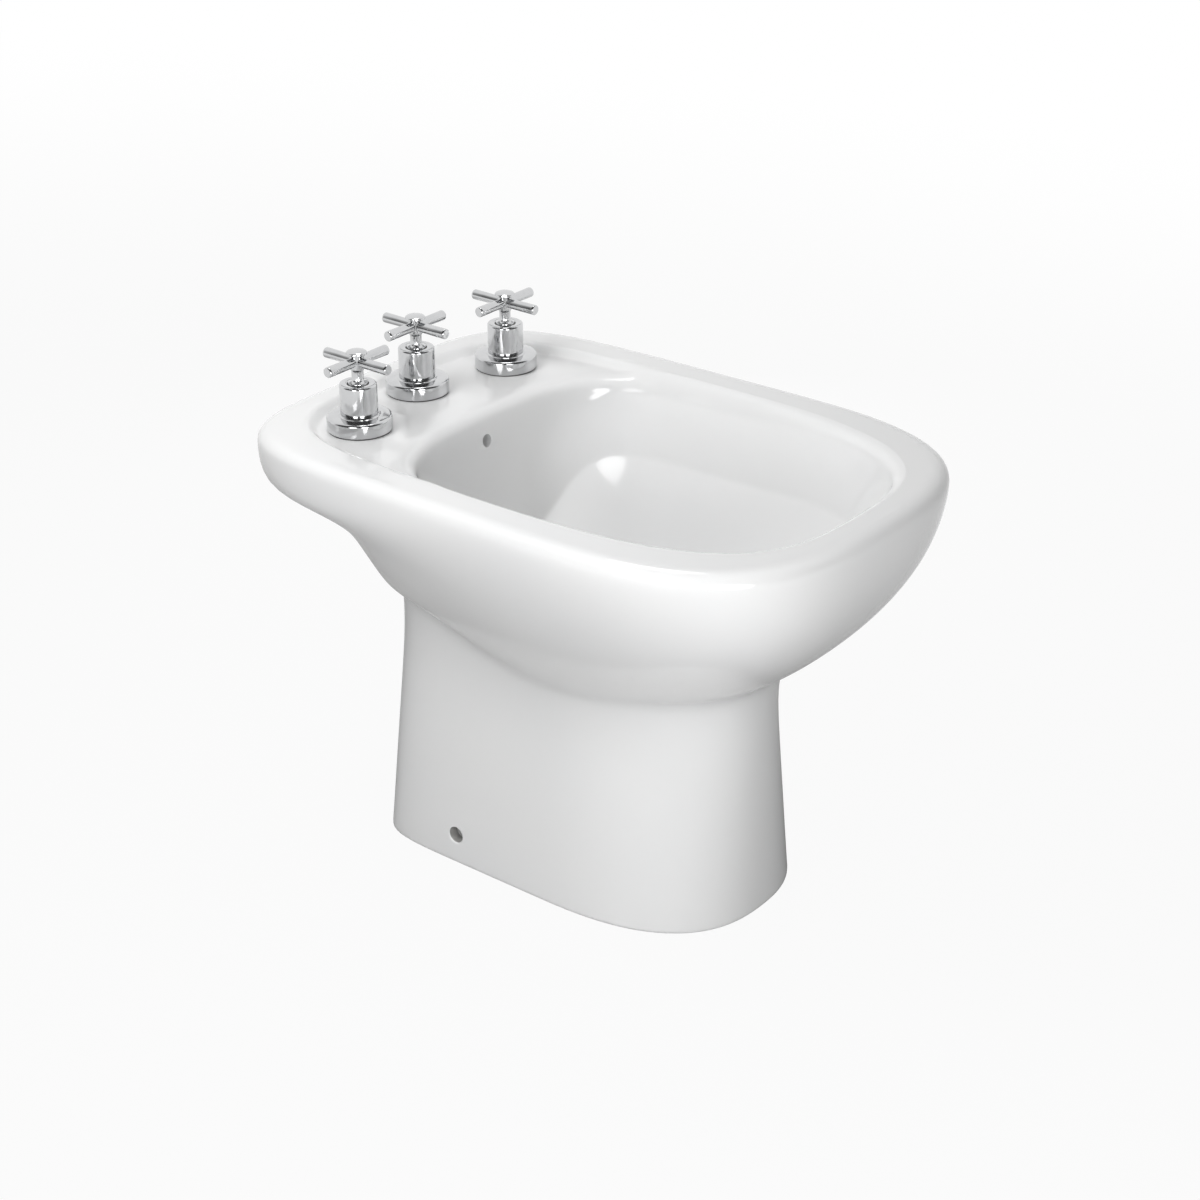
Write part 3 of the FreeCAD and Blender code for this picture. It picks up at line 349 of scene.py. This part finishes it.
def merge_doubles(piece):
    pick(piece)
    bpy.ops.object.mode_set(mode="EDIT")
    bpy.ops.mesh.select_all(action="SELECT")
    bpy.ops.mesh.remove_doubles(threshold=TOUCH)
    bpy.ops.object.mode_set(mode="OBJECT")


def face_outward(piece):
    """Merge doubles and turn every face of a closed piece outwards."""
    merge_doubles(piece)
    bpy.ops.object.mode_set(mode="EDIT")
    bpy.ops.mesh.select_all(action="SELECT")
    bpy.ops.mesh.normals_make_consistent(inside=False)
    bpy.ops.object.mode_set(mode="OBJECT")


def solid(name, rings, pole=False):
    """A closed piece pulled through rings, with a flat face or a point at both ends."""
    piece = extruded(name, rings)
    close_end(piece, rings[0], pole)
    close_end(piece, rings[-1], pole)
    face_outward(piece)
    return piece


def finish_with(piece, kind, **settings):
    """Apply one modifier to a piece."""
    modifier = piece.modifiers.new(kind.title(), kind)
    for name, value in settings.items():
        setattr(modifier, name, value)
    pick(piece)
    bpy.ops.object.modifier_apply(modifier=modifier.name)


def joined_by(piece, operation, *tools):
    """Cut tools out of a piece, or add them to it, and remove them."""
    for tool in tools:
        finish_with(piece, "BOOLEAN", operation=operation, solver="EXACT", object=tool)
        bpy.data.objects.remove(tool)


def smooth(piece, degrees):
    """Shade a finished piece smooth, with sharp edges where faces meet at a larger angle."""
    pick(piece)
    bpy.ops.object.shade_smooth_by_angle(angle=math.radians(degrees))
    if "station" in piece.data.attributes:
        piece.data.attributes.remove(piece.data.attributes["station"])


SUBDIVISIONS = 2
china = solid("china_body", rings, pole=True)
finish_with(china, "SUBSURF", levels=SUBDIVISIONS, render_levels=SUBDIVISIONS)

# Pocket under the deck, open behind the web of the pedestal
SKIRT_WALL = 14.0
POCKET_FRONT = 165.0
POCKET_LOW = 268.0
skirt = rim.grown(-SKIRT_WALL)
pocket_levels = (POCKET_LOW, (POCKET_LOW + DECK_UNDERSIDE) / 2, DECK_UNDERSIDE)
pocket = solid("pocket", [skirt.at(level).ring() for level in pocket_levels])
bpy.ops.object.mode_set(mode="EDIT")
bpy.ops.mesh.select_all(action="SELECT")
bpy.ops.mesh.bisect(plane_co=(0, POCKET_FRONT * MM, 0), plane_no=(0, 1, 0),
                    use_fill=True, clear_inner=True)
bpy.ops.object.mode_set(mode="OBJECT")
face_outward(pocket)

# Round tools for holes, and the turned pieces of the taps further down
ROUND_SIDES = 64
HOLE_OVERRUN = 2.0


def round_rings(start, along, profile):
    """Rings round an axis from a start: the profile gives distances along it and radii."""
    axis = "xyz".index(along)
    across = [spare for spare in range(3) if spare != axis]
    turned = []
    for distance, radius in profile:
        ring = []
        for side in range(ROUND_SIDES):
            turn = 2 * math.pi * side / ROUND_SIDES
            place = [value * MM for value in start]
            place[axis] += distance * MM
            place[across[0]] += radius * math.cos(turn) * MM
            place[across[1]] += radius * math.sin(turn) * MM
            ring.append(tuple(place))
        turned.append(ring)
    return turned


def bore(name, start, along, radius, length):
    """A plain round tool."""
    return solid(name, round_rings(start, along, ((0.0, radius), (length, radius))))


# Arched opening in the rear of the pedestal
ARCH_HALF = 62.0
ARCH_SPRING = 143.0
ARCH_FRONT, ARCH_DEPTH = 139.0, 39.0
arch = bore("arch", (0.0, ARCH_FRONT, ARCH_SPRING), "y", ARCH_HALF, ARCH_DEPTH)
bpy.ops.object.mode_set(mode="EDIT")
bpy.ops.mesh.select_all(action="DESELECT")
shell = bmesh.from_edit_mesh(arch.data)
for corner in shell.verts:
    if corner.co.z < ARCH_SPRING * MM - TOUCH:
        corner.co.z = -HOLE_OVERRUN * MM
        corner.co.x = math.copysign(ARCH_HALF * MM, corner.co.x)
bmesh.update_edit_mesh(arch.data)
bpy.ops.object.mode_set(mode="OBJECT")
face_outward(arch)

# Holes for taps, feed, overflow, spray and waste, and two side fixings with a glazed round edge
TAP_X, TAP_Y, TRANSFER_Y = 92.5, 185.5, 205.5
TAP_PLACES = {"hot": (-TAP_X, TAP_Y), "cold": (TAP_X, TAP_Y), "transfer": (0.0, TRANSFER_Y)}
TAP_HOLE = 15.0
FEED_FRONT, FEED_LEVEL, FEED_HOLE, FEED_LENGTH = 145.0, 333.0, 8.0, 24.0
OVERFLOW_FRONT, OVERFLOW_LEVEL, OVERFLOW_HOLE, OVERFLOW_LENGTH = 70.0, 345.0, 5.5, 75.0
SPRAY_Y, SPRAY_HOLE = -10.0, 9.0
WASTE_Y, WASTE_HOLE = -74.0, 22.5
FIXING_Y, FIXING_LEVEL, FIXING_FACE = 82.5, 27.0, 104.7
FIXING_FLARE = ((-18.0, 7.0), (-1.0, 7.0), (-0.6, 7.1), (-0.3, 7.3), (0.0, 7.6), (0.25, 8.2),
                (4.0, 12.0))
through_deck = DECK_LEVEL - DECK_UNDERSIDE + 2 * HOLE_OVERRUN
through_floor = FLOOR_THICKNESS + 2 * HOLE_OVERRUN
below_deck = DECK_UNDERSIDE - HOLE_OVERRUN
below_floor = FLOOR_LEVEL - FLOOR_THICKNESS - HOLE_OVERRUN
holes = [bore("tap_hole", (x, y, below_deck), "z", TAP_HOLE, through_deck)
         for x, y in TAP_PLACES.values()]
holes.append(bore("feed_hole", (0.0, FEED_FRONT, FEED_LEVEL), "y", FEED_HOLE, FEED_LENGTH))
holes.append(bore("overflow", (0.0, OVERFLOW_FRONT, OVERFLOW_LEVEL), "y",
                  OVERFLOW_HOLE, OVERFLOW_LENGTH))
holes += [bore("floor_hole", (0.0, y, below_floor), "z", radius, through_floor)
          for y, radius in ((SPRAY_Y, SPRAY_HOLE), (WASTE_Y, WASTE_HOLE))]
for side in (-1, 1):
    flare = [(side * distance, radius) for distance, radius in FIXING_FLARE]
    place = (side * FIXING_FACE, FIXING_Y, FIXING_LEVEL)
    holes.append(solid("fixing_hole", round_rings(place, "x", flare)))
joined_by(china, "DIFFERENCE", pocket, arch, *holes)
CHINA_SHARP = 40
smooth(china, CHINA_SHARP)


class Finish:
    """A new surface finish; its sockets are wrapped so that shader maths reads as plain sums."""

    def __init__(self, name, **settings):
        self.material = bpy.data.materials.new(name)
        self.material.use_nodes = True
        self.nodes = self.material.node_tree.nodes
        self.links = self.material.node_tree.links
        self.shader = self.nodes["Principled BSDF"]
        for socket, value in settings.items():
            self.set(self.shader, socket.replace("_", " "), value)

    def set(self, node, socket, value):
        if isinstance(value, Value):
            self.links.new(value.socket, node.inputs[socket])
        else:
            node.inputs[socket].default_value = value

    def add(self, kind, settings=None, output=0, **inputs):
        """Any node: type, settings, output, and its sockets' values by name or by number."""
        node = self.nodes.new(kind)
        for name, value in (settings or {}).items():
            setattr(node, name, value)
        for socket, value in inputs.items():
            key = int(socket[1:]) if socket[0] == "_" else socket.replace("_", " ")
            self.set(node, key, value)
        return Value(self, node.outputs[output])

    def places(self):
        return self.add("ShaderNodeTexCoord", output="Object")

    def noise(self, scale, detail=2.0):
        return self.add("ShaderNodeTexNoise", Vector=self.places(), Scale=scale, Detail=detail)

    def vector(self, operation, output=0, **inputs):
        return self.add("ShaderNodeVectorMath", {"operation": operation}, output, **inputs)

    def eased(self, value, **limits):
        """A value carried from one range to another with a soft start and end."""
        return self.add("ShaderNodeMapRange", {"interpolation_type": "SMOOTHSTEP"}, Value=value,
                        **limits)

    def mixed(self, share, first, second):
        return self.add("ShaderNodeMix", {"data_type": "RGBA"}, 2, _0=share, _6=first, _7=second)

    def mottled(self, first, second, **grain):
        """Base colour that wanders between two colours."""
        self.set(self.shader, "Base Color", self.mixed(self.noise(**grain), first, second))

    def rubbed(self, least, spread, **grain):
        """Roughness that wanders upwards from the least by a spread."""
        self.set(self.shader, "Roughness", least + spread * self.noise(**grain))

    def rays(self, *kinds):
        """One where a surface is met by any of these rays, and zero elsewhere."""
        met = 0.0
        for kind in kinds:
            met = self.add("ShaderNodeLightPath", output="Is %s Ray" % kind).larger(met)
        return met


class Value:
    """One socket in a shader; sums on it add Math nodes."""

    def __init__(self, finish, socket):
        self.finish = finish
        self.socket = socket

    def maths(self, operation, first, second):
        return self.finish.add("ShaderNodeMath", {"operation": operation}, _0=first, _1=second)

    def __add__(self, other):
        return self.maths("ADD", self, other)

    def __rsub__(self, other):
        return self.maths("SUBTRACT", other, self)

    def __mul__(self, other):
        return self.maths("MULTIPLY", self, other)

    def __lt__(self, other):
        return self.maths("LESS_THAN", self, other)

    def larger(self, other):
        return self.maths("MAXIMUM", self, other)

    __radd__ = __add__
    __rmul__ = __mul__


def paint(piece, finish):
    piece.data.materials.clear()
    piece.data.materials.append(finish.material)


# White glaze that pools a little cooler in places, and raw clay inside the two fixing holes,
# painted dark grey as the shade in them
GLAZE_WHITE = (0.86, 0.86, 0.855, 1.0)
GLAZE_COOL = (0.83, 0.835, 0.84, 1.0)
GLAZE_ROUGHNESS, GLAZE_HAZE = 0.07, 0.04
# Raw clay painted darker than fired clay is, as painted shade inside the fixing holes
SHADED_RAW_CLAY = (0.33, 0.325, 0.315, 1.0)
CLAY_ROUGHNESS = 0.6
FIXING_BARE_AND_SHADED = 7.35
glaze = Finish("white_glaze", IOR=1.52)
from_fixing = glaze.vector("SUBTRACT", _0=glaze.places(),
                           _1=(0.0, FIXING_Y * MM, FIXING_LEVEL * MM))
across_bore = glaze.vector("MULTIPLY", _0=from_fixing, _1=(0.0, 1.0, 1.0))
# The bare clay inside the fixing holes also carries the painted shade in its dark grey
bare_and_shaded = glaze.vector("LENGTH", "Value", _0=across_bore) < FIXING_BARE_AND_SHADED * MM
glazed = glaze.mixed(glaze.noise(scale=9.0), GLAZE_WHITE, GLAZE_COOL)
haze = GLAZE_ROUGHNESS + GLAZE_HAZE * glaze.noise(scale=40.0)
ripple = glaze.add("ShaderNodeBump", Height=glaze.noise(scale=55.0, detail=1.0),
                   Strength=0.03, Distance=0.0006)
glaze.set(glaze.shader, "Base Color", glaze.mixed(bare_and_shaded, glazed, SHADED_RAW_CLAY))
glaze.set(glaze.shader, "Roughness", haze + CLAY_ROUGHNESS * bare_and_shaded)
glaze.set(glaze.shader, "Normal", ripple)
paint(china, glaze)
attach(china, "bidet")
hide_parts("ceramic_body")

# Taps. Each has a turned brass flange clamped to the deck by a sleeve, and a cross
# handle with a screw cap, all polished and chromium plated.
# The handle, its cap and the spindle below turn together; flange and sleeve stay put.
CHROME_BRIGHT = (0.66, 0.665, 0.67, 1.0)
CHROME_DULL = (0.58, 0.585, 0.595, 1.0)
chrome = Finish("polished_chrome", Metallic=1.0)
chrome.mottled(CHROME_BRIGHT, CHROME_DULL, scale=120.0)
chrome.rubbed(least=0.08, spread=0.06, scale=300.0, detail=3.0)

# Profiles of the turned pieces, as radii and heights above the deck
FLANGE_PROFILE = ((12.7, 1.0), (26.6, 1.0), (27.0, 1.4), (27.0, 10.9), (26.85, 11.7),
                  (26.4, 12.35), (25.7, 12.8), (24.9, 13.0), (18.3, 13.6), (17.7, 13.55),
                  (17.3, 13.8), (17.1, 14.2), (16.8, 14.5), (16.4, 14.6), (12.7, 14.6))
SLEEVE_PROFILE = ((13.8, 14.6), (15.2, 14.6), (15.5, 14.9), (15.5, 38.6), (15.35, 39.4),
                  (14.9, 40.05), (14.2, 40.4), (13.4, 40.5), (10.6, 40.5), (10.1, 40.35),
                  (9.8, 40.0), (9.4, 39.85), (9.1, 39.75), (9.0, 39.5), (9.0, 37.5),
                  (13.8, 37.5))
HUB_PROFILE = ((7.9, 39.0), (8.2, 39.3), (8.2, 40.8), (8.05, 41.15), (7.6, 41.35), (5.7, 42.2),
               (5.15, 42.7), (4.9, 43.4), (4.9, 50.2), (5.05, 51.0), (5.8, 52.3), (6.0, 53.1),
               (6.0, 64.6), (5.7, 65.0))
SOCKET_PROFILE = ((3.5, 38.0), (3.5, 56.2), (1.8, 56.2), (1.8, 58.7), (4.6, 58.7), (4.6, 66.0))
CAP_PROFILE = ((4.4, 63.4), (4.4, 65.0), (8.1, 65.0), (8.5, 65.35), (8.5, 66.1), (8.3, 66.9),
               (7.6, 67.5), (6.2, 68.0), (4.2, 68.35), (2.0, 68.5))

# Arms of the cross, as distances from the hub and radii
ARM_LEVEL = 58.7
ARM_HALF = ((8.0, 4.1), (20.0, 4.3), (32.8, 4.45), (33.6, 4.4), (34.1, 4.2), (34.5, 3.75))
ARM_PROFILE = [(-distance, radius) for distance, radius in ARM_HALF[::-1]] + list(ARM_HALF)
CHROME_SHARP = 30


def tap_rings(place, profile):
    """Rings of a piece that is turned about the upright axis of a tap."""
    return round_rings((*place, DECK_LEVEL), "z", [pair[::-1] for pair in profile])


def turned_ring(name, place, profile):
    """A turned piece with a hole through it: its last ring is its first one."""
    piece = extruded(name, tap_rings(place, profile + profile[:1]))
    face_outward(piece)
    return piece


for tap, place in TAP_PLACES.items():
    flange = turned_ring(tap + "_chrome_flange", place, FLANGE_PROFILE)
    sleeve = turned_ring(tap + "_chrome_sleeve", place, SLEEVE_PROFILE)
    handle = solid(tap + "_cross_handle", tap_rings(place, HUB_PROFILE))
    hub = (*place, DECK_LEVEL + ARM_LEVEL)
    bars = [solid("bar", round_rings(hub, along, ARM_PROFILE)) for along in "xy"]
    joined_by(handle, "UNION", *bars)
    joined_by(handle, "DIFFERENCE", solid("socket", tap_rings(place, SOCKET_PROFILE)))
    cap = solid(tap + "_handle_top", tap_rings(place, CAP_PROFILE))
    for piece, node, body in ((flange, "flange", "bidet"), (sleeve, "sleeve", "bidet"),
                              (handle, "handle", tap + "_tap"), (cap, "handle_cap", tap + "_tap")):
        smooth(piece, CHROME_SHARP)
        paint(piece, chrome)
        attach(piece, body)
        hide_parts(tap + "_" + node)

# Valves, tubes and waste. Brass valve bodies hang under the deck; bright tubes link
# them to each other, to the bowl feed and to the spray; the waste drains the bowl.
# All keep the shapes they were drawn with, and those in sight show a smooth copy.
BRASS_LIGHT, BRASS_DARK = (0.72, 0.53, 0.26, 1.0), (0.58, 0.40, 0.18, 1.0)
RUBBER_DARK, RUBBER_WORN = (0.02, 0.02, 0.02, 1.0), (0.045, 0.045, 0.045, 1.0)
ALUMINA_PALE, ALUMINA_DULL = (0.78, 0.77, 0.74, 1.0), (0.7, 0.69, 0.66, 1.0)
STEEL_BRIGHT, STEEL_DULL = (0.6, 0.6, 0.6, 1.0), (0.5, 0.5, 0.51, 1.0)
brass = Finish("turned_brass", Metallic=1.0)
brass.mottled(BRASS_LIGHT, BRASS_DARK, scale=45.0, detail=4.0)
brass.rubbed(least=0.24, spread=0.16, scale=220.0, detail=3.0)
rubber = Finish("black_rubber")
rubber.mottled(RUBBER_DARK, RUBBER_WORN, scale=90.0)
rubber.rubbed(least=0.6, spread=0.2, scale=260.0)
alumina = Finish("sintered_ceramic")
alumina.mottled(ALUMINA_PALE, ALUMINA_DULL, scale=150.0)
alumina.rubbed(least=0.3, spread=0.15, scale=300.0)
steel = Finish("stainless_steel", Metallic=1.0)
steel.mottled(STEEL_BRIGHT, STEEL_DULL, scale=80.0)
steel.rubbed(least=0.25, spread=0.15, scale=240.0, detail=3.0)
finishes = {"china": glaze, "chrome": chrome, "brass": brass, "rubber": rubber,
            "valve_ceramic": alumina, "steel": steel}

IN_SIGHT = ("valve_body", "headwork", "spindle", "deck_gasket", "back_washer", "backnut",
            "link_tube", "link_nuts", "feed_tube", "feed_nut", "feed_grommet",
            "spray_rose", "spray_gasket", "spray_locknut", "spray_tube", "spray_tube_nuts",
            "waste_body", "waste_gasket", "waste_locknut", "waste_tailpiece")
DRAWN_SHARP = 30
body_of_node = {}
for body, names in frame["record"]["behaviour"]["bodies"].items():
    for name in names:
        body_of_node[name] = body
for entry in frame["record"]["materials"]:
    for name in entry.get("nodes", []):
        drawn = frame["nodes"][name]
        paint(drawn, finishes[entry["slot"]])
        if name.endswith(IN_SIGHT):
            piece = bpy.data.objects.new(name + "_smooth", drawn.data.copy())
            bpy.context.scene.collection.objects.link(piece)
            merge_doubles(piece)
            smooth(piece, DRAWN_SHARP)
            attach(piece, body_of_node[name])
            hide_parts(name)

# Studio. A floor of white paper that runs on as the backdrop, under soft round boxes on all
# sides. The gloss shows a painted shade round the object, where the paper's glow is left out and
# only its grey lit by the lamps shows, and white beyond, and the darker side of the room in front.
# A sheet in the hollow foot takes only the light that falls in.
PAPER_SIZE, PAPER_LEVEL = 30.0, -0.0005
PAPER_GREY = (0.36, 0.36, 0.36, 1.0)
PAPER_GLOW = 0.94
FOOT_SHARES = (1.0, 0.62, 0.0)
SHADE_FROM, SHADE_TO = 0.1, 0.9
FADE_FROM, FADE_TO = 0.8, 2.5
bpy.ops.object.select_all(action="DESELECT")
bpy.ops.mesh.primitive_plane_add(size=PAPER_SIZE, location=(0, 0, PAPER_LEVEL))
floor = bpy.context.object
floor.name = "studio_floor"
paper = Finish("white_paper", Base_Color=PAPER_GREY, Roughness=0.9, Specular_IOR_Level=0.0)
round_foot = paper.vector("MULTIPLY", _0=paper.places(), _1=FOOT_SHARES)
away = paper.vector("LENGTH", "Value", _0=round_foot)
# Painted shade in the gloss: near the object the paper shows no glow to glossy rays
beyond_painted_shade = paper.eased(away, From_Min=SHADE_FROM, From_Max=SHADE_TO)
glow = paper.eased(away, From_Min=FADE_FROM, From_Max=FADE_TO, To_Min=PAPER_GLOW, To_Max=1.0)
white = paper.rays("Camera", "Transmission").larger(beyond_painted_shade * paper.rays("Glossy"))
lit = Value(paper, paper.shader.outputs[0])
surface = paper.add("ShaderNodeMixShader", _0=glow * white, _1=lit,
                    _2=paper.add("ShaderNodeEmission"))
paper.set(paper.nodes["Material Output"], "Surface", surface)
paint(floor, paper)

SHEET_LEVEL = 0.3
SHEET_GREY = (0.7, 0.7, 0.7, 1.0)
bpy.ops.object.select_all(action="DESELECT")
bpy.ops.mesh.primitive_circle_add(vertices=STATIONS, radius=1.0, fill_type="NGON")
sheet = bpy.context.object
sheet.name = "sheet_in_foot"
for corner, place in zip(sheet.data.vertices, foot.grown(-WALL / 2).at(SHEET_LEVEL).ring()):
    corner.co = place
paint(sheet, Finish("plain_paper", Base_Color=SHEET_GREY, Roughness=0.9, Specular_IOR_Level=0.0))


class Room(Finish):
    """The world round the object, with its nodes wrapped as those of a finish are."""

    def __init__(self, name):
        sky = bpy.data.worlds.new(name)
        bpy.context.scene.world = sky
        sky.use_nodes = True
        self.nodes = sky.node_tree.nodes
        self.links = sky.node_tree.links
        self.shader = self.nodes["Background"]


SKY_WHITE = (1.0, 1.0, 1.0, 1.0)
SKY_LIGHT = 0.22
DARK_SIDE = (-0.771, -0.602, 0.208)
DARK_FROM, DARK_TO, DARKEST = -0.1, 0.35, 0.08
room = Room("studio")
way = room.add("ShaderNodeTexCoord", output="Generated")
frontward = room.vector("DOT_PRODUCT", "Value", _0=way, _1=DARK_SIDE)
sides = room.eased(frontward, From_Min=DARK_FROM, From_Max=DARK_TO, To_Min=1.0, To_Max=DARKEST)
glossy = room.rays("Glossy")
shown = room.rays("Camera", "Transmission").larger(sides * glossy)
room.set(room.shader, "Color", SKY_WHITE)
room.set(room.shader, "Strength", shown.larger(SKY_LIGHT * (1 - glossy)))

AIM_LEVEL = 0.2


def lamp(name, place, size, power, in_gloss):
    """A soft round box aimed at the middle of the object, which the gloss shows or not."""
    x, y, z = place
    bpy.ops.object.light_add(type="AREA", location=place)
    light = bpy.context.object
    light.name = name
    light.data.shape = "DISK"
    light.data.size = size
    light.data.energy = power
    light.visible_camera = False
    light.visible_glossy = in_gloss
    light.rotation_euler = (math.atan2(math.hypot(x, y), z - AIM_LEVEL), 0, math.atan2(x, -y))


lamp("front_box", (-0.662, -0.848, 0.429), size=0.5, power=5.0, in_gloss=True)
lamp("side_box", (-1.041, -0.184, 0.503), size=0.5, power=2.6, in_gloss=True)
lamp("high_box", (-0.505, 0.292, 1.133), size=0.5, power=4.4, in_gloss=False)
lamp("top_box", (0.114, 0.198, 1.276), size=0.34, power=1.5, in_gloss=True)
lamp("rear_box", (0.893, 0.749, 2.066), size=1.6, power=5.0, in_gloss=False)
lamp("back_box", (0.854, 0.667, 0.391), size=0.6, power=5.0, in_gloss=False)

CAMERA_PLACE = (-1.3975, -1.0906, 1.1056)
CAMERA_TURN = (math.radians(63.849), 0.0, math.radians(-51.824))
CAMERA_LENS, CAMERA_SENSOR = 71.507, 36.0
bpy.ops.object.camera_add(location=CAMERA_PLACE, rotation=CAMERA_TURN)
camera = bpy.context.object
camera.data.sensor_width = CAMERA_SENSOR
camera.data.lens = CAMERA_LENS
bpy.context.scene.camera = camera
bpy.context.scene.view_settings.view_transform = "Standard"
